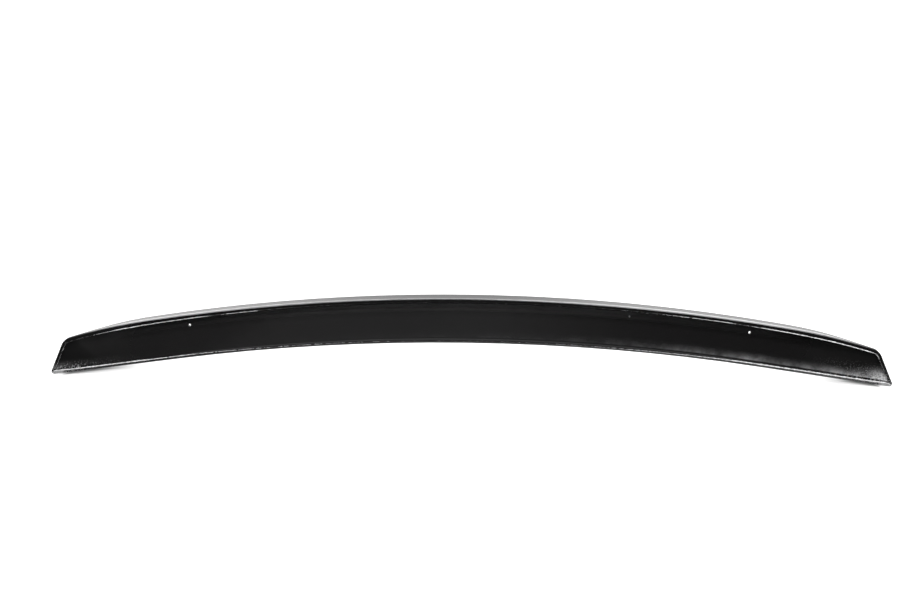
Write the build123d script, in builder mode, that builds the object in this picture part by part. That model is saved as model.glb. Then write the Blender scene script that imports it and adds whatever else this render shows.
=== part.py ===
from build123d import *
import math
import os

# Car rear spoiler: a lip for the rear edge of a boot lid, moulded in one piece as an open shell.
# X runs along the span and Z from the leading edge, below, to the trailing edge, above.
# The bonding rim lies in the plane y = 0 and faces -Y. The shell stands behind it, towards +Y.
# The origin is at mid-span, in the middle of the rim along the leading edge.

# Outline of the rim, seen square on
span = 1252.8  # between the two leading corners, before they are rounded
chord = 66.0  # from leading edge to trailing edge at mid-span
lead_radius = 3030.0  # arch of the leading edge
heel_run = 196.4  # straight stretch of the leading edge at each end
trail_radius = 2900.0  # arch of the trailing edge
shoulder_run = 151.0  # stretch of the trailing edge that bends down at each end
shoulder_radius = 855.0  # of that bend
end_slant = 24.5  # lean of the end walls from upright, in degrees
heel_radius = 4.0  # corner of leading edge and end wall

# Walls and edges
rim_width = 4.5  # the bonding rim along the leading edge and the ends, and so the end walls
lip_width = 6.0  # the bonding rim along the trailing edge, and so the rear wall
skin = 4.0  # the ramp, measured along Y
tip_inner_radius = 14.0  # inside corner of trailing edge and end wall
crest_fillet = 1.5  # round the back of the shell
rim_fillet = 0.6  # outer edge of the bonding rim
trim_bevel = 0.6  # inner edge of the bonding rim, where the moulding is trimmed
root_share = 0.45  # bevel in the corner of skin and walls, as a share of lead_recess

# Depth of the hollow and of the shell round it
lead_recess = 2.5  # depth of the hollow along the leading edge
lip_rise = 24.5  # how much deeper the shell is at the trailing edge, at mid-span
lip_loss = 5.0  # how much of that is lost by where the lip starts to sink
sink_inset = 135.0  # from each end to where the lip starts to sink
sink_length = 122.0  # length along which it sinks
tip_rise = 1.5  # what is left of the rise at the tips
ramp_lean = 0.30  # slope of the ramp at the leading edge, as a share of its mean slope

# Fixing holes through the ramp
screw_hole_diameter = 3.5
screw_hole_pitch = 828.0  # between the two holes
screw_hole_drop = 18.7  # below the trailing edge

# Working values: sections that the ramp is lofted through, and the like
half_sections = 18  # from mid-span to just past one end
over_chord = 0.1  # how far a section runs past the rim, as a share of the chord
overlap = 6.0  # how far the forms stand past what they cut
tip_steps = 40  # rounds that close in on the tip's place

half_span = span / 2
lead_depth = lead_recess + skin
root_bevel = lead_recess * root_share
tip_radius = tip_inner_radius + rim_width
deepest = lead_depth + lip_rise + overlap
sink_start = half_span - sink_inset

# Leading and trailing edges: an arch each, with a straight run or a bend at its ends
lead_top = -rim_width / 2
lead_centre_z = lead_top - lead_radius
heel_x = half_span - heel_run
heel_slope = heel_x / math.sqrt(lead_radius**2 - heel_x**2)
trail_centre_z = lead_top + chord - trail_radius
shoulder_x = half_span - shoulder_run
shoulder_angle = math.asin(shoulder_x / trail_radius)
shoulder_centre_x = (trail_radius - shoulder_radius) * math.sin(shoulder_angle)
shoulder_centre_z = trail_centre_z + (trail_radius - shoulder_radius) * math.cos(shoulder_angle)


def lead_z(x):
    run = max(abs(x) - heel_x, 0)
    return lead_centre_z + math.sqrt(lead_radius**2 - (abs(x) - run) ** 2) - run * heel_slope


def trail_z(x):
    if abs(x) <= shoulder_x:
        return trail_centre_z + math.sqrt(trail_radius**2 - x**2)
    return shoulder_centre_z + math.sqrt(shoulder_radius**2 - (abs(x) - shoulder_centre_x) ** 2)


# Place where the line of the end wall, drawn up from the heel, meets the trailing edge less drop
def tip_place(drop):
    lean = math.tan(math.radians(end_slant))
    x = half_span
    for _ in range(tip_steps):
        x = half_span - lean * (trail_z(x) - drop - lead_z(half_span))
    return x


# Rise of the lip over the leading edge, sinking smoothly to tip_rise at the ends
def crest_rise(x):
    full = lip_rise - lip_loss * (x / sink_start) ** 2
    along = min(max((abs(x) - sink_start) / sink_length, 0), 1)
    sunk = along**2 * (3 - 2 * along)
    return full * (1 - sunk) + tip_rise * sunk


# Depth and slope of the ramp, a parabola from share 0 at the leading edge to 1 at the trailing edge
def ramp_depth(x, share):
    return lead_depth + crest_rise(x) * (ramp_lean * share + (1 - ramp_lean) * share**2)


def ramp_slope(x, share):
    return crest_rise(x) * (ramp_lean + 2 * (1 - ramp_lean) * share)


# Section places, evenly spaced from just past one end to just past the other
section_step = (half_span + overlap) / half_sections
section_places = [section_step * i for i in range(-half_sections, half_sections + 1)]


# One closed section from in front of the rim back to the ramp, which lift brings forward
def ramp_section(x, lift):
    first, last = -over_chord, 1 + over_chord
    height = trail_z(x) - lead_z(x)
    low, high = lead_z(x) + first * height, lead_z(x) + last * height
    start, end = ramp_depth(x, first) - lift, ramp_depth(x, last) - lift
    bend = start + ramp_slope(x, first) * (last - first) / 2
    with BuildSketch(Plane.YZ.offset(x)) as section:
        with BuildLine():
            Polyline((end, high), (-overlap, high), (-overlap, low), (start, low))
            Bezier((start, low), (bend, (low + high) / 2), (end, high))
        make_face()
    return section.sketch


# Outline of the rim, drawn in by inset, or by lip_inset along the trailing edge, front mm before the rim
def rim_outline(inset, lip_inset, front):
    drop = lip_inset - inset
    tip_x = tip_place(drop)
    lead = [(x, lead_z(x)) for x in (0, heel_x / 2, heel_x, half_span)]
    trail_places = (tip_x, (shoulder_x + tip_x) / 2, shoulder_x, shoulder_x / 2, 0)
    trail = [(x, trail_z(x) - drop) for x in trail_places]
    with BuildSketch(Plane.XZ.offset(front)) as outline:
        with BuildLine():
            ThreePointArc(*lead[:3])
            Polyline(*lead[2:], trail[0])
            ThreePointArc(*trail[:3])
            ThreePointArc(*trail[2:])
            mirror(about=Plane.YZ)
        make_face()
        if inset:
            offset(amount=-inset, mode=Mode.REPLACE)
        ends = outline.vertices().sort_by(lambda corner: abs(corner.X))[-4:]
        fillet(ends.sort_by(Axis.Y)[2:], tip_radius - inset)
        fillet(outline.vertices().sort_by(Axis.Y)[:2], heel_radius)
    return outline.sketch


# Solid between the front plane and the ramp
def ramp_form(inset, lip_inset, lift, front):
    with BuildPart() as form:
        loft([ramp_section(x, lift) for x in section_places])
        extrude(rim_outline(inset, lip_inset, front), front + deepest, dir=(0, 1, 0), mode=Mode.INTERSECT)
    return form.part


# Edges round the ramp, which is the largest of the form's curved faces
def ramp_edges(form):
    return form.faces().filter_by(GeomType.PLANE, reverse=True).sort_by(SortBy.AREA)[-1].edges()


# The hollow, with a bevelled root
with BuildPart() as hollow:
    add(ramp_form(rim_width, lip_width, skin, overlap / 2))
    chamfer(ramp_edges(hollow), root_bevel)

# The moulded shell
with BuildPart() as spoiler_shell:
    add(ramp_form(0, 0, 0, 0))
    fillet(ramp_edges(spoiler_shell), crest_fillet)
    add(hollow.part, mode=Mode.SUBTRACT)
    fillet(spoiler_shell.faces().sort_by(Axis.Y)[0].outer_wire().edges(), rim_fillet)
    chamfer(spoiler_shell.faces().sort_by(Axis.Y)[0].inner_wires()[0].edges(), trim_bevel)
    with BuildSketch(Plane.XZ):
        with Locations((0, trail_z(screw_hole_pitch / 2) - screw_hole_drop)):
            with GridLocations(screw_hole_pitch, 0, 2, 1):
                Circle(screw_hole_diameter / 2)
    extrude(amount=-deepest, mode=Mode.SUBTRACT)

spoiler_shell.part.label = "spoiler_shell"
os.makedirs("parts", exist_ok=True)
export_step(spoiler_shell.part, "parts/spoiler_shell.step")
print("spoiler shell", spoiler_shell.part.volume, spoiler_shell.part.bounding_box())
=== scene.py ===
import math
from types import SimpleNamespace

import bpy
from mathutils import Matrix, Vector


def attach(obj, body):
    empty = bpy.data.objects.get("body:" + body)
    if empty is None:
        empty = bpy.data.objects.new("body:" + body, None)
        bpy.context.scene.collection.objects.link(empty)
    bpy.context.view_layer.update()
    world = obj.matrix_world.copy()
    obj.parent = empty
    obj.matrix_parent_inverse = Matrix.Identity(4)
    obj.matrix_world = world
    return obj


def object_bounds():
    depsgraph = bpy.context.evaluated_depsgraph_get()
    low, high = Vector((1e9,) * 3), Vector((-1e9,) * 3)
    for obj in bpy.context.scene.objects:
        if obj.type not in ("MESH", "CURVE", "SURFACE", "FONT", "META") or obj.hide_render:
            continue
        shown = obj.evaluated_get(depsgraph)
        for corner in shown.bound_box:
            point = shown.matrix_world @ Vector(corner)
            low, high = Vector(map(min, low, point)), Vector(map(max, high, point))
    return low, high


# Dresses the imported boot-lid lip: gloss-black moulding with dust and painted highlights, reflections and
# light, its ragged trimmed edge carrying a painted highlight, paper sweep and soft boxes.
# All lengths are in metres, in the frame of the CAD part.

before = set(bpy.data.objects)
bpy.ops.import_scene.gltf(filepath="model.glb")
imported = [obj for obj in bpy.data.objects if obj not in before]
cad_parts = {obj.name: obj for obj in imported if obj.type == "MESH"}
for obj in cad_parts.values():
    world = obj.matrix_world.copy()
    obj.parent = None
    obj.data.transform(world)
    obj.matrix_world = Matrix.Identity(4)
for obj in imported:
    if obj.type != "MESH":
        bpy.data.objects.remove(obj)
cadBounds = [list(corner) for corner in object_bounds()]
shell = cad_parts["spoiler_shell"]
print("frame loaded", cadBounds)


# Camera of the photograph, which looks down a little at the open side

cameraSet = {
    "distance": 2.0,
    "elevation": 16.965,  # degrees
    "azimuth": 2.212,  # degrees, it stands a little to the right
    "roll": 0.160,  # degrees
    "focalPixels": 1359.9,
    "imageSize": (920, 613),
    "originPixel": (467.08, 341.51),  # where the part's origin shows
    "sensorWidth": 36,  # mm
}


def addCamera(s):
    tilt, roll = math.radians(s["elevation"]), math.radians(s["roll"])
    swing = Matrix.Rotation(math.radians(s["azimuth"]), 3, "Z")
    look = swing @ Vector((0, math.cos(tilt), -math.sin(tilt)))
    side, top = swing @ Vector((1, 0, 0)), swing @ Vector((0, math.sin(tilt), math.cos(tilt)))
    right = side * math.cos(roll) + top * math.sin(roll)
    up = top * math.cos(roll) - side * math.sin(roll)
    width, height = s["imageSize"]
    data = bpy.data.cameras.new("photoCamera")
    data.sensor_width = s["sensorWidth"]
    data.lens = s["focalPixels"] / width * s["sensorWidth"]
    data.shift_x = (width / 2 - s["originPixel"][0]) / width
    data.shift_y = (s["originPixel"][1] - height / 2) / width
    camera = bpy.data.objects.new("photoCamera", data)
    turn = Matrix((right, up, -look)).transposed().to_4x4()
    camera.matrix_world = Matrix.Translation(-look * s["distance"]) @ turn
    bpy.context.scene.collection.objects.link(camera)
    bpy.context.scene.camera = camera


addCamera(cameraSet)
bpy.context.scene.view_settings.view_transform = "Standard"
print("camera placed")


# Small helpers for node trees

def addNode(tree, kind, links=(), **settings):
    node = tree.nodes.new(kind)
    for name, value in settings.items():
        setattr(node, name, value)
    for socket, value in dict(links).items():
        target = node.inputs[socket]
        if isinstance(value, bpy.types.NodeSocket):
            tree.links.new(value, target)
        else:
            target.default_value = value
    return node


def math1(tree, operation, a, b=0.0, clamp=False):
    return addNode(tree, "ShaderNodeMath", {0: a, 1: b}, operation=operation, use_clamp=clamp).outputs[0]


def times(tree, first, *others):
    for other in others:
        first = math1(tree, "MULTIPLY", first, other)
    return first


def most(tree, first, *others):
    for other in others:
        first = math1(tree, "MAXIMUM", first, other)
    return first


def ramp1(tree, value, low, high, outLow=0.0, outHigh=1.0, smooth=True):
    kind = "SMOOTHSTEP" if smooth else "LINEAR"
    links = {"Value": value, "From Min": low, "From Max": high, "To Min": outLow, "To Max": outHigh}
    return addNode(tree, "ShaderNodeMapRange", links, interpolation_type=kind).outputs["Result"]


def noise1(tree, vector, scale, detail=2.0, rough=0.5):
    links = {"Vector": vector, "Scale": scale, "Detail": detail, "Roughness": rough}
    return addNode(tree, "ShaderNodeTexNoise", links).outputs["Fac"]


# Straight lines from each of the pairs to the next
def curve1(tree, value, pairs):
    (low, first), (high, last) = pairs[0], pairs[-1]
    node = addNode(tree, "ShaderNodeFloatCurve", {"Value": ramp1(tree, value, low, high, smooth=False)})
    node.mapping.use_clip = False
    line = node.mapping.curves[0]
    for x, y in pairs[1:-1]:
        line.points.new((x - low) / (high - low), y)
    line.points[0].location = (0, first)
    line.points[-1].location = (1, last)
    for point in line.points:
        point.handle_type = "VECTOR"
    node.mapping.update()
    return node.outputs[0]


def mixValue(tree, share, first, second):
    return addNode(tree, "ShaderNodeMix", {0: share, 2: first, 3: second}).outputs[0]


def mixColour(tree, share, first, second):
    return addNode(tree, "ShaderNodeMix", {0: share, 6: first, 7: second}, data_type="RGBA").outputs[2]


def newGroup(name, numbers, outputs):
    tree = bpy.data.node_groups.new(name, "ShaderNodeTree")
    tree.interface.new_socket("Vector", in_out="INPUT", socket_type="NodeSocketVector")
    for label, value in numbers.items():
        socket = tree.interface.new_socket(label, in_out="INPUT", socket_type="NodeSocketFloat")
        socket.default_value = value
    for label in outputs:
        tree.interface.new_socket(label, in_out="OUTPUT", socket_type="NodeSocketFloat")
    return tree, tree.nodes.new("NodeGroupInput"), tree.nodes.new("NodeGroupOutput")


def newMaterial(name, values):
    material = bpy.data.materials.new(name)
    material.use_nodes = True
    shader = material.node_tree.nodes["Principled BSDF"]
    for label, value in values.items():
        shader.inputs[label].default_value = value
    return material, material.node_tree, shader


# Outline of the bonding rim, as the moulding's drawing has it

rimSet = {
    "halfSpan": 0.6264,
    "chord": 0.066,
    "rimWidth": 0.0045,
    "lipWidth": 0.006,  # the rim along the trailing edge
    "leadRadius": 3.030,
    "heelStart": 0.430,  # straight from here to the end
    "trailRadius": 2.900,
    "shoulderStart": 0.4754,  # bends down from here to the end
    "shoulderRadius": 0.855,
    "shoulderSteep": 1.04,  # brings the parabola that the finishes use for that bend close to its arc
    "endSlant": 24.5,  # degrees
    "tipRounds": 40,  # rounds that close in on the tip's place
}
heelSlope = math.tan(math.asin(rimSet["heelStart"] / rimSet["leadRadius"]))
shoulderSlope = math.tan(math.asin(rimSet["shoulderStart"] / rimSet["trailRadius"]))


def leadHeight(x):
    run = max(abs(x) - rimSet["heelStart"], 0)
    radius = rimSet["leadRadius"]
    return -rimSet["rimWidth"] / 2 - radius + math.sqrt(radius**2 - (abs(x) - run) ** 2) - run * heelSlope


def trailHeight(x):
    radius, bend, start = rimSet["trailRadius"], rimSet["shoulderRadius"], rimSet["shoulderStart"]
    centre = -rimSet["rimWidth"] / 2 + rimSet["chord"] - radius
    if abs(x) <= start:
        return centre + math.sqrt(radius**2 - x**2)
    angle = math.asin(start / radius)
    across, up = (radius - bend) * math.sin(angle), centre + (radius - bend) * math.cos(angle)
    return up + math.sqrt(bend**2 - (abs(x) - across) ** 2)


def tipPlace():
    x, lean = rimSet["halfSpan"], math.tan(math.radians(rimSet["endSlant"]))
    for _ in range(rimSet["tipRounds"]):
        x = rimSet["halfSpan"] - lean * (trailHeight(x) - leadHeight(rimSet["halfSpan"]))
    return x, trailHeight(x)


# Where a point of the moulding lies: above the leading edge, below the trailing edge, in from the end

# Height of a flat arch, carried on in a straight line past start, and how far past it the point is
def archHeight(tree, far, start, radius, slope):
    past = most(tree, math1(tree, "SUBTRACT", far, start), 0.0)
    under = math1(tree, "SUBTRACT", far, past)
    height = times(tree, under, under, -0.5 / radius)
    return math1(tree, "SUBTRACT", height, times(tree, past, slope)), past


def makePlaceGroup(s):
    tree, given, out = newGroup("lipPlace", {}, ("Above", "Below", "Inward", "Depth", "Side"))
    x, y, z = addNode(tree, "ShaderNodeSeparateXYZ", {0: given.outputs["Vector"]}).outputs
    far = math1(tree, "ABSOLUTE", x)
    lead, _ = archHeight(tree, far, s["heelStart"], s["leadRadius"], heelSlope)
    lead = math1(tree, "ADD", lead, -s["rimWidth"] / 2)
    trail, past = archHeight(tree, far, s["shoulderStart"], s["trailRadius"], shoulderSlope)
    bend = times(tree, past, past, 0.5 * s["shoulderSteep"] / s["shoulderRadius"])
    trail = math1(tree, "ADD", math1(tree, "SUBTRACT", trail, bend), s["chord"] - s["rimWidth"] / 2)
    lean = math.radians(s["endSlant"])
    rise = math1(tree, "SUBTRACT", z, leadHeight(s["halfSpan"]))
    edge = math1(tree, "SUBTRACT", s["halfSpan"], times(tree, rise, math.tan(lean)))
    tree.links.new(math1(tree, "SUBTRACT", z, lead), out.inputs["Above"])
    tree.links.new(math1(tree, "SUBTRACT", trail, z), out.inputs["Below"])
    tree.links.new(times(tree, math1(tree, "SUBTRACT", edge, far), math.cos(lean)), out.inputs["Inward"])
    tree.links.new(y, out.inputs["Depth"])
    tree.links.new(x, out.inputs["Side"])
    return tree


# In the sets below, a noise is its scale, detail and roughness. A range is where an effect starts and where
# it is full, then what it gives at each, if that isn't 0 and 1. A list has pairs of a place and a value.

# Thin film of dust with a painted reflection of the floor in it, thick where Coverage is high and broken up by
# two sizes of blotch

dustAndSheenSet = {
    "blotchDetail": (4.0, 0.6),  # the scale comes in with Blotch
    "blotchShade": (0.32, 0.68, 0.35, 1.05),
    "grain": (900.0, 2.0, 0.6),
    "grainShade": (0.2, 0.75, 0.6, 1.0),
    "specks": (560.0, 1.0, 0.5),
    "speckRange": (0.50, 0.72),
    "speckWeight": 0.75,
    "mottleShade": (0.38, 0.62, 0.35, 1.5),  # how the specks break up the film between them
}


def makeDustAndSheenGroup(s):
    numbers = {"Coverage": 0.0, "Speckled": 0.0, "Blotch": 60.0}
    tree, given, out = newGroup("dustAndSheenFilm", numbers, ("Film", "Specks"))
    vector, cover, speckled, scale = given.outputs[:4]
    blotch = ramp1(tree, noise1(tree, vector, scale, *s["blotchDetail"]), *s["blotchShade"])
    grain = ramp1(tree, noise1(tree, vector, *s["grain"]), *s["grainShade"])
    fine = noise1(tree, vector, *s["specks"])
    specks = math1(tree, "MULTIPLY", ramp1(tree, fine, *s["speckRange"]), speckled, clamp=True)
    mottle = mixValue(tree, speckled, 1.0, ramp1(tree, fine, *s["mottleShade"]))
    film = math1(tree, "MULTIPLY", times(tree, blotch, grain, mottle), cover, clamp=True)
    tree.links.new(film, out.inputs["Film"])
    tree.links.new(times(tree, specks, s["speckWeight"]), out.inputs["Specks"])
    return tree


placeGroup = makePlaceGroup(rimSet)
dustAndSheenGroup = makeDustAndSheenGroup(dustAndSheenSet)
print("shader groups made")


# Gloss-black moulding

trimEdge = rimSet["rimWidth"]  # the rim's trimmed inner edge, in from the outline
mouldingSet = {
    "black": (0.0045, 0.0045, 0.005, 1),
    "warmBlack": (0.007, 0.0065, 0.0065, 1),
    "tone": (9.0, 3.0, 0.5),  # noise that mixes the two
    "dustMarkSheenGrey": (0.62, 0.62, 0.63, 1),
    "wearHighlightGrey": (0.85, 0.85, 0.86, 1),
    "plain": {"IOR": 1.5, "Specular IOR Level": 0.2, "Coat Roughness": 0.10},

    # which way a surface faces, and which half of the span it is in
    "openSide": (-0.3, -0.6),
    "facesUp": (0.5, 0.8),
    "leftHalf": (0.1, -0.1),
    "rightHalf": (-0.1, 0.1),

    # dust with a painted reflection of the floor, light low on the open side, along the span, clear of the rim
    "dustSheenAlong": [
        (-0.63, 0.50), (-0.61, 0.40), (-0.595, 0.18), (-0.57, 0.06), (-0.54, 0.01), (-0.40, 0.0),
        (0.0, 0.02), (0.15, 0.04), (0.24, 0.09), (0.30, 0.14), (0.322, 0.25), (0.36, 0.23), (0.40, 0.26),
        (0.424, 0.70), (0.45, 0.24), (0.475, 0.25), (0.50, 0.37), (0.55, 0.75), (0.575, 0.82),
        (0.59, 0.95), (0.602, 1.4), (0.63, 1.6),
    ],
    "dustSheenReach": (0.0160, 0.0265),  # how far it climbs above the leading rim, and at the right end
    "dustSheenRightEnd": (0.555, 0.605),
    "dustSheenFoot": 0.003,  # where it is thickest
    "dustSheenFade": 2.0,  # power by which it thins upwards
    "dustSheenBlotch": 55.0,  # scale of its larger blotches
    "rimClear": (0.0022, 0.0038),
    "endClear": (0.0044, 0.0056),  # in from the right end; the left end keeps it

    # specks of dust at both ends, along the span
    "specksAlong": [
        (-0.63, 1.0), (-0.60, 1.0), (-0.575, 0.55), (-0.55, 0.2), (-0.51, 0.04), (-0.48, 0.0),
        (0.50, 0.0), (0.55, 0.3), (0.58, 0.7), (0.63, 0.9),
    ],
    "specksReach": (0.014, 0.030),  # how far they climb on the left and on the right

    # pale scrape along the rim's trimmed inner edge, with a painted highlight on it that brightens towards the
    # ends
    "leadShift": (0.18, 0.30, 0.0, 0.0012),  # how much nearer the outline it runs, away from the ends
    "lipShift": (0.10, 0.25, rimSet["lipWidth"] - trimEdge, 0.0),
    "trimOuter": (trimEdge - 0.0008, trimEdge - 0.0005),
    "trimInner": (trimEdge + 0.0003, trimEdge),
    "trimDepth": (0.0009, 0.0006),
    "trimRagged": (160.0, 4.0, 0.7),
    "trimLeft": (0.40, 0.60),  # where that noise leaves a scrape
    "trimHighlightShade": (0.42, 0.22, 0.02, 0.12),  # from the middle to the ends

    # rubbed outer edge of the leading rim with a painted highlight, along the span
    "soleRubHighlightAlong": [
        (-0.63, 0.03), (-0.40, 0.05), (-0.15, 0.06), (0.0, 0.065), (0.15, 0.085), (0.40, 0.11),
        (0.56, 0.11), (0.63, 0.05),
    ],
    "soleHeight": (0.0034, 0.0024),
    "soleDepth": (0.0016, 0.0010),

    # rubbed corners that it stands on, with the painted highlight of the leading edge carried out to them
    "heelReach": (0.021, 0.014),
    "heelHeight": (trimEdge, trimEdge - 0.0008),
    "heelDepth": (0.0014, 0.0008, 0.0, 0.5),

    # thicker dust with a painted reflection above the right corner
    "cornerDustSheenReach": (0.030, 0.008),
    "cornerDustSheenHeight": (0.024, 0.006),
    "cornerDustSheenSide": (0.55, 0.59),
    "cornerDustSheenGrain": (420.0, 2.0, 0.6),
    "cornerDustSheenShade": (0.38, 0.64, 0.05, 1.0),

    # painted light on the skin under the trailing rim, filling the shade that the lip casts there, along the
    # span
    "underLipSheenAlong": [
        (-0.63, 0.0), (-0.55, 0.0), (-0.50, 0.05), (-0.42, 0.05), (-0.30, 0.11), (-0.15, 0.17),
        (0.0, 0.20), (0.20, 0.15), (0.30, 0.08), (0.42, 0.055), (0.50, 0.012), (0.58, 0.0), (0.63, 0.0),
    ],
    "underLipSheenDrop": (0.0225, 0.014),
    "underLipSheenDepth": (0.006, 0.010),

    # dust with a painted reflection on top of the lip, along the span
    "topDustSheenAlong": [
        (-0.63, 0.0), (-0.575, 0.04), (-0.50, 0.42), (-0.38, 0.42), (-0.20, 0.20), (0.0, 0.10),
        (0.12, 0.24), (0.25, 0.40), (0.45, 0.46), (0.55, 0.25), (0.60, 0.0), (0.63, 0.0),
    ],
    "topDrop": (0.002, 0.001),
    "topDepth": (0.016, 0.003),

    # painted highlight near the lip's front edge, along the span
    "frontHighlightAlong": [
        (-0.63, 0.3), (-0.50, 0.8), (-0.35, 0.6), (-0.2, 0.4), (0.0, 0.45), (0.15, 0.6), (0.30, 0.95),
        (0.50, 0.9), (0.63, 0.4),
    ],
    "frontStretch": (0.1, 0.3, 1.0, 1.45),  # how much farther back it lies towards the ends
    "highlightFront": (0.0030, 0.0042),
    "highlightBack": (0.0080, 0.0062),
    "highlightDrop": (0.0006, 0.0003),
    "highlightBlotch": (45.0, 3.0, 0.6),
    "highlightShade": (0.3, 0.7, 0.6, 1.0),

    # one small pale mark: along the span, below the trailing edge
    "markAt": (0.2378, 0.0171),
    "markShade": (0.0020, 0.0006, 0.0, 0.6),

    # roughness of the skin under the coat
    "smear": (22.0, 5.0, 0.6),
    "smearRough": (0.3, 0.8, 0.09, 0.15),
    "paleMarkRough": 0.4,
    "endRough": (0.42, 0.54, 0.0, 0.22),  # towards both ends of the open side
    "peelSize": 0.007,
    "peelStrength": 0.10,
    "peelHeight": 0.0003,

    # coat of the open side, along the span, lower where it is smeared; the outside has all of it
    "glossAlong": [
        (-0.63, 0.6), (-0.59, 0.6), (-0.55, 0.3), (-0.50, 0.4), (-0.44, 0.6), (0.44, 0.6), (0.49, 0.4),
        (0.54, 0.0), (0.63, 0.0),
    ],
    # the lip's front edge is sanded matt
    "mattBack": (0.0046, 0.0034),
    "mattUp": (0.3, 0.6),
    "mattRough": 0.65,
    # its back edge, whose depth this is from mid-span to the ends, is dull
    "crestAlong": [
        (0.0, 0.0310), (0.20, 0.0302), (0.35, 0.0285), (0.4914, 0.0260), (0.52, 0.0233), (0.55, 0.0175),
        (0.58, 0.0113), (0.63, 0.0080),
    ],
    "dullBand": (0.0075, 0.0035),
    "dullShare": 0.6,
    # the bevels along the leading edge never got the polish
    "bevelUp": (0.58, 0.66),
    "bevelDrop": (0.010, 0.020),
}


# Place on the moulding, and which way its surface faces
def readPlace(tree, s):
    given = addNode(tree, "ShaderNodeTexCoord").outputs
    where = given["Object"]
    place = addNode(tree, "ShaderNodeGroup", {"Vector": where}, node_tree=placeGroup)
    above, below, inward, depth, side = place.outputs
    _, back, up = addNode(tree, "ShaderNodeSeparateXYZ", {0: given["Normal"]}).outputs
    far = math1(tree, "ABSOLUTE", side)
    at = SimpleNamespace(where=where, above=above, below=below, inward=inward, depth=depth, side=side)
    at.far, at.up = far, up
    at.inside = math1(tree, "SUBTRACT", above, trimEdge)
    at.front = math1(tree, "DIVIDE", depth, ramp1(tree, far, *s["frontStretch"]))
    at.openSide = ramp1(tree, back, *s["openSide"])
    at.facesUp = ramp1(tree, up, *s["facesUp"])
    offEnd = most(tree, ramp1(tree, inward, *s["endClear"]), ramp1(tree, side, *s["leftHalf"]))
    at.clear = times(tree, ramp1(tree, at.inside, *s["rimClear"]), offEnd, at.openSide)
    return at


# Dust with a painted reflection of the floor low on the open side, most on the right end, with dust specks at
# both ends
def lowDustAndSheen(tree, at, s):
    climb = ramp1(tree, at.side, *s["dustSheenRightEnd"], *s["dustSheenReach"])
    low = math1(tree, "POWER", ramp1(tree, at.inside, climb, s["dustSheenFoot"], smooth=False), s["dustSheenFade"])
    cover = times(tree, low, at.clear, curve1(tree, at.side, s["dustSheenAlong"]))
    reach = ramp1(tree, at.side, *s["rightHalf"], *s["specksReach"])
    speckled = times(tree, ramp1(tree, at.inside, reach, 0.0), at.openSide)
    speckled = times(tree, speckled, curve1(tree, at.side, s["specksAlong"]))
    links = {"Vector": at.where, "Coverage": cover, "Speckled": speckled, "Blotch": s["dustSheenBlotch"]}
    dust = addNode(tree, "ShaderNodeGroup", links, node_tree=dustAndSheenGroup).outputs
    return most(tree, dust["Film"], dust["Specks"])


# Painted light on the skin under the trailing rim, filling the lip's shade, and dust with a painted reflection
# on top of the lip
def lipSheenAndDust(tree, at, s):
    underLipSheen = times(tree, ramp1(tree, at.below, *s["underLipSheenDrop"], smooth=False), at.openSide)
    underLipSheen = times(tree, underLipSheen, ramp1(tree, at.depth, *s["underLipSheenDepth"]), curve1(tree, at.side, s["underLipSheenAlong"]))
    top = times(tree, at.facesUp, ramp1(tree, at.below, *s["topDrop"]), ramp1(tree, at.depth, *s["topDepth"]))
    return most(tree, underLipSheen, times(tree, top, curve1(tree, at.side, s["topDustSheenAlong"])))


def smallMark(tree, at, s):
    across = math1(tree, "SUBTRACT", at.side, s["markAt"][0])
    down = math1(tree, "SUBTRACT", at.below, s["markAt"][1])
    gap = math1(tree, "SQRT", math1(tree, "ADD", times(tree, across, across), times(tree, down, down)))
    return times(tree, ramp1(tree, gap, *s["markShade"]), at.openSide)


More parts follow.
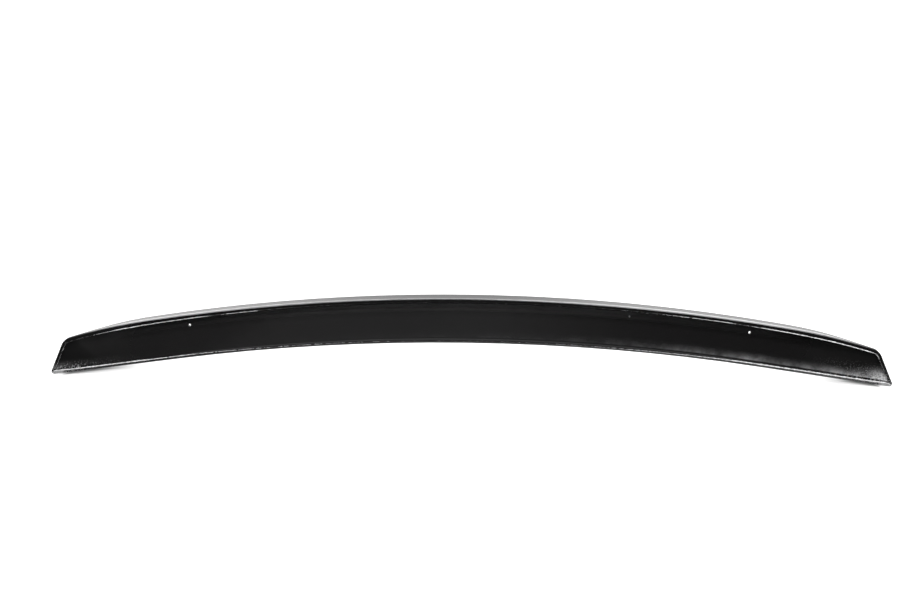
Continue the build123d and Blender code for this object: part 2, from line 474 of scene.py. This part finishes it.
# Pale places: scraped and rubbed edges carrying painted highlights, a painted highlight along the lip's front
# edge, and dust with a painted reflection above one corner
def wearDustAndHighlights(tree, at, s):
    aboveLead = math1(tree, "ADD", at.above, ramp1(tree, at.inward, *s["leadShift"]))
    belowLip = math1(tree, "SUBTRACT", at.below, ramp1(tree, at.inward, *s["lipShift"]))
    rim = math1(tree, "MINIMUM", aboveLead, math1(tree, "MINIMUM", belowLip, at.inward))
    # trimmed inner edge: pale scrape with a painted highlight, brighter towards the ends
    trimAndHighlight = times(tree, ramp1(tree, rim, *s["trimOuter"]), ramp1(tree, rim, *s["trimInner"]))
    trimAndHighlight = times(tree, trimAndHighlight, ramp1(tree, at.depth, *s["trimDepth"]), ramp1(tree, at.inward, *s["trimHighlightShade"]))
    trimAndHighlight = times(tree, trimAndHighlight, ramp1(tree, noise1(tree, at.where, *s["trimRagged"]), *s["trimLeft"]))

    # rubbed outer edge of the leading rim, with a painted highlight
    soleRubAndHighlight = times(tree, ramp1(tree, at.above, *s["soleHeight"]), ramp1(tree, at.depth, *s["soleDepth"]))
    soleRubAndHighlight = times(tree, soleRubAndHighlight, curve1(tree, at.side, s["soleRubHighlightAlong"]))

    # rubbed corners with the painted highlight of the leading edge on them
    heel = times(tree, ramp1(tree, at.inward, *s["heelReach"]), ramp1(tree, at.above, *s["heelHeight"]))
    heel = times(tree, heel, ramp1(tree, at.depth, *s["heelDepth"]))

    # thick dust with a painted reflection above the right corner
    cornerDustSheen = times(tree, ramp1(tree, at.inward, *s["cornerDustSheenReach"]), ramp1(tree, at.above, *s["cornerDustSheenHeight"]))
    cornerDustSheen = times(tree, cornerDustSheen, at.clear, ramp1(tree, at.side, *s["cornerDustSheenSide"]))
    cornerDustSheen = times(tree, cornerDustSheen, ramp1(tree, noise1(tree, at.where, *s["cornerDustSheenGrain"]), *s["cornerDustSheenShade"]))

    # painted highlight along the lip's front edge
    frontHighlight = times(tree, ramp1(tree, at.front, *s["highlightFront"]), ramp1(tree, at.front, *s["highlightBack"]))
    frontHighlight = times(tree, frontHighlight, ramp1(tree, at.below, *s["highlightDrop"]), at.facesUp)
    frontHighlight = times(tree, frontHighlight, ramp1(tree, noise1(tree, at.where, *s["highlightBlotch"]), *s["highlightShade"]))
    frontHighlight = times(tree, frontHighlight, curve1(tree, at.side, s["frontHighlightAlong"]))
    return most(tree, trimAndHighlight, soleRubAndHighlight, heel, cornerDustSheen, frontHighlight)


def makeMoulding(s):
    material, tree, shader = newMaterial("glossBlackMoulding", s["plain"])
    at = readPlace(tree, s)
    # dust, a small pale mark, painted reflections and painted light under the trailing rim, all in one pale
    # grey
    dustMarkAndSheen = most(tree, lowDustAndSheen(tree, at, s), smallMark(tree, at, s), lipSheenAndDust(tree, at, s))
    # edges worn and carrying painted highlights, and dust with a painted reflection above one corner
    wearDustHighlight = wearDustAndHighlights(tree, at, s)
    colour = mixColour(tree, noise1(tree, at.where, *s["tone"]), s["black"], s["warmBlack"])
    colour = mixColour(tree, dustMarkAndSheen, colour, s["dustMarkSheenGrey"])
    colour = mixColour(tree, wearDustHighlight, colour, s["wearHighlightGrey"])
    tree.links.new(colour, shader.inputs["Base Color"])

    matt = times(tree, ramp1(tree, at.front, *s["mattBack"]), ramp1(tree, at.below, *s["topDrop"]))
    matt = times(tree, matt, ramp1(tree, at.up, *s["mattUp"]))
    rough = ramp1(tree, noise1(tree, at.where, *s["smear"]), *s["smearRough"])
    rough = math1(tree, "ADD", rough, times(tree, most(tree, dustMarkAndSheen, wearDustHighlight), s["paleMarkRough"]))
    ends = times(tree, at.openSide, ramp1(tree, at.far, *s["endRough"]))
    soft = most(tree, ends, times(tree, matt, s["mattRough"]))
    tree.links.new(math1(tree, "ADD", rough, soft, clamp=True), shader.inputs["Roughness"])

    peel = noise1(tree, at.where, 1.0 / s["peelSize"])
    links = {"Strength": s["peelStrength"], "Distance": s["peelHeight"], "Height": peel}
    tree.links.new(addNode(tree, "ShaderNodeBump", links).outputs["Normal"], shader.inputs["Normal"])

    crest = math1(tree, "SUBTRACT", curve1(tree, at.far, s["crestAlong"]), at.depth)
    dull = times(tree, ramp1(tree, crest, *s["dullBand"]), at.facesUp, s["dullShare"])
    bevel = times(tree, ramp1(tree, at.up, *s["bevelUp"]), ramp1(tree, at.below, *s["bevelDrop"]))
    bevel = times(tree, bevel, at.openSide)
    kept = math1(tree, "SUBTRACT", 1.0, most(tree, dull, matt, bevel))
    coat = mixValue(tree, at.openSide, 1.0, curve1(tree, at.side, s["glossAlong"]))
    tree.links.new(times(tree, coat, kept), shader.inputs["Coat Weight"])
    return material


shell.data.materials.clear()
shell.data.materials.append(makeMoulding(mouldingSet))
print("moulding finished")


# Ragged flash along the trimmed inner edge of the rim, pale so that it also paints the highlight on that edge

flashHighlightSet = {
    # how far in from the outline it runs, on half the leading edge, an end wall and half the trailing edge
    "lowerInset": [
        (0.0, 0.0028), (0.30, 0.0031), (0.36, 0.0036), (0.43, 0.0040), (0.58, 0.0041), (0.597, 0.0042),
        (0.605, 0.0046), (0.615, 0.0048), (0.6264, 0.0042),
    ],
    "wallInset": [(0.0, 0.0042), (0.15, 0.0044), (1.0, 0.0048)],
    "upperInset": [
        (0.0, 0.0046), (0.38, 0.0047), (0.45, 0.0053), (0.50, 0.0058), (0.55, 0.0055), (0.61, 0.0048),
    ],
    "standOff": 0.0001,  # behind the rim's face
    "tipRadius": 0.013,
    "heelRadius": 0.001,
    "lowerSteps": 160,
    "wallSteps": 16,
    "wallLast": 13,  # the steps after this one are left to the corner
    "upperSteps": 130,
    "step": 0.0012,
    "thickness": 0.00105,
    "ragged": 0.6,
    # how much of it is left, which also sets how bright the painted highlight is, along the trailing edge,
    # along the leading edge and up an end wall
    "upper": [
        (-0.61, 0.02), (-0.565, 0.03), (-0.545, 0.25), (-0.53, 0.3), (-0.515, 0.7), (-0.498, 0.85),
        (-0.47, 0.5), (-0.416, 0.5), (-0.384, 0.5), (-0.38, 0.08), (-0.357, 0.08), (-0.353, 0.5),
        (-0.34, 0.2), (-0.33, 0.5), (-0.315, 0.35), (-0.309, 0.07), (-0.29, 0.02), (-0.093, 0.02),
        (0.107, 0.02), (0.276, 0.03), (0.29, 0.2), (0.305, 0.25), (0.313, 0.4), (0.35, 0.3), (0.365, 0.5),
        (0.386, 0.7), (0.390, 0.06), (0.405, 0.06), (0.41, 0.15), (0.424, 0.2), (0.432, 0.75),
        (0.502, 0.85), (0.581, 0.9), (0.599, 0.7), (0.606, 0.12),
    ],
    "lower": [
        (-0.6264, 0.8), (-0.599, 1.0), (-0.498, 0.9), (-0.467, 0.6), (-0.437, 0.55), (-0.406, 0.42),
        (-0.376, 0.27), (-0.335, 0.28), (-0.295, 0.2), (-0.244, 0.2), (-0.194, 0.14), (-0.093, 0.06),
        (0.107, 0.06), (0.176, 0.14), (0.226, 0.2), (0.256, 0.3), (0.305, 0.36), (0.345, 0.48),
        (0.384, 0.65), (0.414, 1.0), (0.44, 1.25), (0.50, 1.05), (0.55, 1.15), (0.61, 1.15),
        (0.6264, 0.8),
    ],
    "wall": [
        (0.0, 0.6), (0.1, 0.25), (0.2, 0.03), (0.33, 0.2), (0.42, 0.03), (0.58, 0.14), (0.68, 0.03),
        (0.80, 0.18), (0.88, 0.03), (1.0, 0.05),
    ],
    # its torn shape
    "cornerSteps": 6,
    "sides": 7,
    "rag": (230.0, 3.0, 0.65),
    "ragRange": (0.35, 0.65),
    "ragMost": 1.15,
    "wobbleScale": 300.0,
    "wobbleDetail": 2.0,
    "wobbleShare": 0.9,  # of the thickness
    # its finish, pale grey to white for the painted highlight
    "grey": (0.78, 0.78, 0.79, 1),
    "pale": (0.97, 0.97, 0.98, 1),
    "torn": (260.0, 4.0, 0.7),
    "tornRange": (0.35, 0.65),
    "tornRough": (0.0, 1.0, 0.35, 0.6),
}


# Value at x on the straight lines between the pairs
def between(pairs, x):
    for (x0, v0), (x1, v1) in zip(pairs, pairs[1:]):
        if x <= x1:
            return v0 + (v1 - v0) * min(max((x - x0) / (x1 - x0), 0), 1)
    return pairs[-1][1]


# The path as a closed run of points: leading edge, right end, trailing edge, left end
def rimLoop(s):
    half, tip = rimSet["halfSpan"], Vector(tipPlace())
    heel = Vector((half, leadHeight(half)))
    lower, upper = s["lowerSteps"], s["upperSteps"]
    run = []  # place on the outline, inset, how much is left, corner radius
    for i in range(lower + 1):
        x = half * (2 * i / lower - 1)
        radius = s["heelRadius"] if i in (0, lower) else 0.0
        inset, left = between(s["lowerInset"], abs(x)), between(s["lower"], x)
        run.append((Vector((x, leadHeight(x))), inset, left, radius))
    wall = []
    for i in range(1, s["wallLast"] + 1):
        share = i / s["wallSteps"]
        inset, left = between(s["wallInset"], share), between(s["wall"], share)
        wall.append((heel.lerp(tip, share), inset, left, 0.0))
    run += wall
    for i in range(upper + 1):
        x = tip.x * (1 - 2 * i / upper)
        radius = s["tipRadius"] if i in (0, upper) else 0.0
        inset, left = between(s["upperInset"], abs(x)), between(s["upper"], x)
        run.append((Vector((x, trailHeight(x))), inset, left, radius))
    run += [(Vector((-place.x, place.y)), *others) for place, *others in reversed(wall)]
    loop = []
    for i, (here, inset, left, radius) in enumerate(run):
        back = (here - run[i - 1][0]).normalized()
        ahead = (run[(i + 1) % len(run)][0] - here).normalized()
        inBack, inAhead = Vector((-back.y, back.x)), Vector((-ahead.y, ahead.x))
        mitre = (inBack + inAhead) / (1 + inBack.dot(inAhead))
        loop.append((here + mitre * inset, left, radius))
    return loop


def makeFlashHighlightTree(s):
    tree = bpy.data.node_groups.new("trimFlashHighlight", "GeometryNodeTree")
    sockets = {}
    kinds = {"Geometry": "Geometry", "Step": "Float", "Thickness": "Float", "Ragged": "Float"}
    for label, kind in (*kinds.items(), ("Finish", "Material")):
        sockets[label] = tree.interface.new_socket(label, in_out="INPUT", socket_type="NodeSocket" + kind)
    tree.interface.new_socket("Geometry", in_out="OUTPUT", socket_type="NodeSocketGeometry")
    given, out = tree.nodes.new("NodeGroupInput").outputs, tree.nodes.new("NodeGroupOutput")

    def named(name):
        node = addNode(tree, "GeometryNodeInputNamedAttribute", {"Name": name}, data_type="FLOAT")
        return node.outputs["Attribute"]

    curve = addNode(tree, "GeometryNodeMeshToCurve", {"Mesh": given["Geometry"]}).outputs[0]
    links = {"Curve": curve, "Count": s["cornerSteps"], "Radius": named("bend"), "Limit Radius": True}
    curve = addNode(tree, "GeometryNodeFilletCurve", links, mode="POLY").outputs[0]
    links = {"Curve": curve, "Length": given["Step"]}
    curve = addNode(tree, "GeometryNodeResampleCurve", links, mode="LENGTH").outputs[0]

    place = addNode(tree, "GeometryNodeInputPosition").outputs[0]
    least = math1(tree, "SUBTRACT", 1.0, given["Ragged"])
    rag = ramp1(tree, noise1(tree, place, *s["rag"]), *s["ragRange"], least, s["ragMost"], smooth=False)
    size = times(tree, named("left"), rag, given["Thickness"])
    links = {"Resolution": s["sides"], "Radius": 1.0}
    ring = addNode(tree, "GeometryNodeCurvePrimitiveCircle", links).outputs["Curve"]
    links = {"Curve": curve, "Profile Curve": ring, "Scale": size}
    body = addNode(tree, "GeometryNodeCurveToMesh", links).outputs[0]

    links = {"Vector": place, "Scale": s["wobbleScale"], "Detail": s["wobbleDetail"]}
    wobble = addNode(tree, "ShaderNodeTexNoise", links).outputs["Color"]
    links = {0: wobble, 1: (0.5, 0.5, 0.5)}
    centred = addNode(tree, "ShaderNodeVectorMath", links, operation="SUBTRACT").outputs[0]
    links = {0: centred, "Scale": times(tree, given["Thickness"], s["wobbleShare"])}
    shift = addNode(tree, "ShaderNodeVectorMath", links, operation="SCALE").outputs[0]
    body = addNode(tree, "GeometryNodeSetPosition", {"Geometry": body, "Offset": shift}).outputs[0]
    body = addNode(tree, "GeometryNodeRealizeInstances", {"Geometry": body}).outputs[0]
    links = {"Geometry": body, "Material": given["Finish"]}
    body = addNode(tree, "GeometryNodeSetMaterial", links).outputs[0]
    tree.links.new(body, out.inputs[0])
    return tree, sockets


def makeFlashHighlightFinish(s):
    material, tree, shader = newMaterial("scrapedEdgeHighlight", {})
    where = addNode(tree, "ShaderNodeTexCoord").outputs["Object"]
    # pale grey to white: a painted highlight along the rim's inner edge
    torn = ramp1(tree, noise1(tree, where, *s["torn"]), *s["tornRange"])
    tree.links.new(mixColour(tree, torn, s["grey"], s["pale"]), shader.inputs["Base Color"])
    tree.links.new(ramp1(tree, torn, *s["tornRough"]), shader.inputs["Roughness"])
    return material


def makeFlashHighlight(s):
    loop = rimLoop(s)
    mesh = bpy.data.meshes.new("trim_flash_highlight")
    edges = [(i, (i + 1) % len(loop)) for i in range(len(loop))]
    mesh.from_pydata([(place.x, s["standOff"], place.y) for place, _, _ in loop], edges, [])
    left, bend = (mesh.attributes.new(name, "FLOAT", "POINT") for name in ("left", "bend"))
    for i, (_, amount, radius) in enumerate(loop):
        left.data[i].value, bend.data[i].value = amount, radius
    flash = bpy.data.objects.new("trim_flash_highlight", mesh)
    bpy.context.scene.collection.objects.link(flash)
    tree, sockets = makeFlashHighlightTree(s)
    modifier = flash.modifiers.new("trimFlashHighlight", "NODES")
    modifier.node_group = tree
    sizes = {"Step": s["step"], "Thickness": s["thickness"], "Ragged": s["ragged"]}
    for label, value in (*sizes.items(), ("Finish", makeFlashHighlightFinish(s))):
        modifier[sockets[label].identifier] = value
    baked = bpy.data.meshes.new_from_object(flash.evaluated_get(bpy.context.evaluated_depsgraph_get()))
    flash.modifiers.remove(modifier)
    flash.data = baked
    baked.name = "trim_flash_highlight"
    baked.shade_smooth()
    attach(flash, "root")
    print("flash left along the rim", len(baked.polygons), "faces")


makeFlashHighlight(flashHighlightSet)


# Paper sweep: white to the camera, shaded in what gloss mirrors, and it keeps the shadow at the two ends,
# partly a painted shadow drawn by the shape of the camera-only light over the grey paper

sweepSet = {
    "floor": cadBounds[0][2],
    "front": -1.5,
    "back": 4.6,
    "height": 4.6,
    "halfWidth": 5.0,
    "bendRadius": 1.2,
    "bendSteps": 12,
    "plain": {"Base Color": (0.38, 0.38, 0.38, 1), "Roughness": 0.9, "Specular IOR Level": 0.0},
    "footAt": 0.6237,  # the two corners that the moulding stands on
    "footFlare": 0.47,  # the ends' shadow runs back by this much for each metre inward
    # light that only the camera sees, from front to back of that shadow and from left to right; where it is
    # low the grey paper shows, a painted shadow over the real one
    "lift": [
        (-0.06, 1.0), (-0.03, 1.0), (-0.018, 0.75), (-0.0128, 0.5), (-0.0085, 0.22), (-0.005, 0.0),
        (0.0, 0.0), (0.008, 0.05), (0.02, 0.3), (0.04, 0.8), (0.06, 1.0), (0.14, 1.0),
    ],
    "liftAside": [
        (-0.66, 1.0), (-0.612, 1.0), (-0.606, 0.5), (-0.600, 0.05), (-0.58, 0.0), (-0.565, 0.0),
        (-0.55, 0.12), (-0.535, 0.35), (-0.52, 0.62), (-0.505, 0.88), (-0.49, 1.0), (0.50, 1.0),
        (0.53, 0.9), (0.55, 0.6), (0.565, 0.15), (0.575, 0.0), (0.598, 0.0), (0.604, 0.3), (0.608, 0.8),
        (0.612, 1.0), (0.66, 1.0),
    ],
    # what gloss sees of it, from front to back and, as a share, from left to right
    "mirrored": [
        (-1.5, 0.8), (-0.8, 0.6), (-0.45, 0.12), (0.04, 0.10), (0.10, 0.45), (0.25, 1.0), (4.6, 1.0),
    ],
    "mirroredAcross": [
        (-5.0, 1.0), (-1.6, 1.0), (-0.87, 0.75), (-0.43, 0.65), (0.0, 0.65), (0.43, 0.8), (0.87, 1.0),
        (5.0, 1.0),
    ],
}


def sweepMesh(s):
    radius, steps = s["bendRadius"], s["bendSteps"]
    profile = [(s["front"], s["floor"]), (s["back"] - radius, s["floor"])]
    for i in range(1, steps + 1):
        angle = math.pi / 2 * i / steps
        along, rise = radius * (1 - math.sin(angle)), radius * (1 - math.cos(angle))
        profile.append((s["back"] - along, s["floor"] + rise))
    profile.append((s["back"], s["height"]))
    points = [(x, y, z) for y, z in profile for x in (-s["halfWidth"], s["halfWidth"])]
    faces = [(2 * i, 2 * i + 1, 2 * i + 3, 2 * i + 2) for i in range(len(profile) - 1)]
    mesh = bpy.data.meshes.new("paperSweep")
    mesh.from_pydata(points, [], faces)
    mesh.shade_smooth()
    return mesh


def makePaper(s):
    material, tree, shader = newMaterial("whitePaper", s["plain"])
    where = addNode(tree, "ShaderNodeTexCoord").outputs["Object"]
    across, along, _ = addNode(tree, "ShaderNodeSeparateXYZ", {0: where}).outputs
    inward = most(tree, math1(tree, "SUBTRACT", s["footAt"], math1(tree, "ABSOLUTE", across)), 0.0)
    behind = math1(tree, "SUBTRACT", along, times(tree, inward, s["footFlare"]))
    lift = most(tree, curve1(tree, behind, s["lift"]), curve1(tree, across, s["liftAside"]))
    lift = addNode(tree, "ShaderNodeEmission", {"Strength": lift})
    mirrored = times(tree, curve1(tree, along, s["mirrored"]), curve1(tree, across, s["mirroredAcross"]))
    mirrored = addNode(tree, "ShaderNodeEmission", {"Strength": mirrored})
    lit = addNode(tree, "ShaderNodeAddShader", {0: shader.outputs[0], 1: lift.outputs[0]})
    ray = addNode(tree, "ShaderNodeLightPath").outputs
    links = {0: ray["Is Camera Ray"], 1: shader.outputs[0], 2: lit.outputs[0]}
    toCamera = addNode(tree, "ShaderNodeMixShader", links)
    gloss = most(tree, ray["Is Glossy Ray"], ray["Is Transmission Ray"])
    pick = addNode(tree, "ShaderNodeMixShader", {0: gloss, 1: toCamera.outputs[0], 2: mirrored.outputs[0]})
    tree.links.new(pick.outputs[0], tree.nodes["Material Output"].inputs["Surface"])
    return material


def makeSweep(s):
    sweep = bpy.data.objects.new("paperSweep", sweepMesh(s))
    bpy.context.scene.collection.objects.link(sweep)
    sweep.data.materials.append(makePaper(s))


makeSweep(sweepSet)


# Studio light: one wide soft box overhead, two small ones over the ends, a dim room

lightSet = {
    # how bright the dim room is, from its left to its right
    "room": [
        (-1.0, 0.18), (-0.30, 0.18), (-0.257, 0.20), (-0.246, 0.34), (-0.16, 0.35), (-0.12, 0.34),
        (-0.08, 0.34), (-0.04, 0.39), (0.0, 0.36), (0.06, 0.235), (0.13, 0.14), (0.25, 0.09), (1.0, 0.10),
    ],
    "white": (1, 1, 1, 1),
    "boxes": [
        # name, place, aimed at, width, length, watts
        ("boxOver", (0.0, 0.05, 1.80), (0.0, 0.05, 0.0), 2.4, 1.3, 20.0),
        ("boxLeft", (-0.95, -0.85, 1.30), (-0.45, 0.0, 0.0), 0.50, 0.50, 16.0),
        ("boxRight", (0.95, -0.85, 1.30), (0.45, 0.0, 0.0), 0.50, 0.50, 16.0),
    ],
}


def addLights(s):
    world = bpy.data.worlds.new("studio")
    bpy.context.scene.world = world
    world.use_nodes = True
    tree = world.node_tree
    room = tree.nodes["Background"]
    facing = addNode(tree, "ShaderNodeTexCoord").outputs["Generated"]
    across = addNode(tree, "ShaderNodeSeparateXYZ", {0: facing}).outputs["X"]
    room.inputs["Color"].default_value = s["white"]
    tree.links.new(curve1(tree, across, s["room"]), room.inputs["Strength"])
    white = addNode(tree, "ShaderNodeBackground", {"Color": s["white"]})
    ray = addNode(tree, "ShaderNodeLightPath").outputs
    links = {0: ray["Is Camera Ray"], 1: room.outputs[0], 2: white.outputs[0]}
    pick = addNode(tree, "ShaderNodeMixShader", links)
    tree.links.new(pick.outputs[0], tree.nodes["World Output"].inputs["Surface"])
    for name, place, aim, width, length, watts in s["boxes"]:
        data = bpy.data.lights.new(name, "AREA")
        data.shape, data.size, data.size_y, data.energy = "RECTANGLE", width, length, watts
        box = bpy.data.objects.new(name, data)
        box.location = place
        box.rotation_euler = (Vector(aim) - Vector(place)).to_track_quat("-Z", "Y").to_euler()
        bpy.context.scene.collection.objects.link(box)


addLights(lightSet)
print("stage and light set")
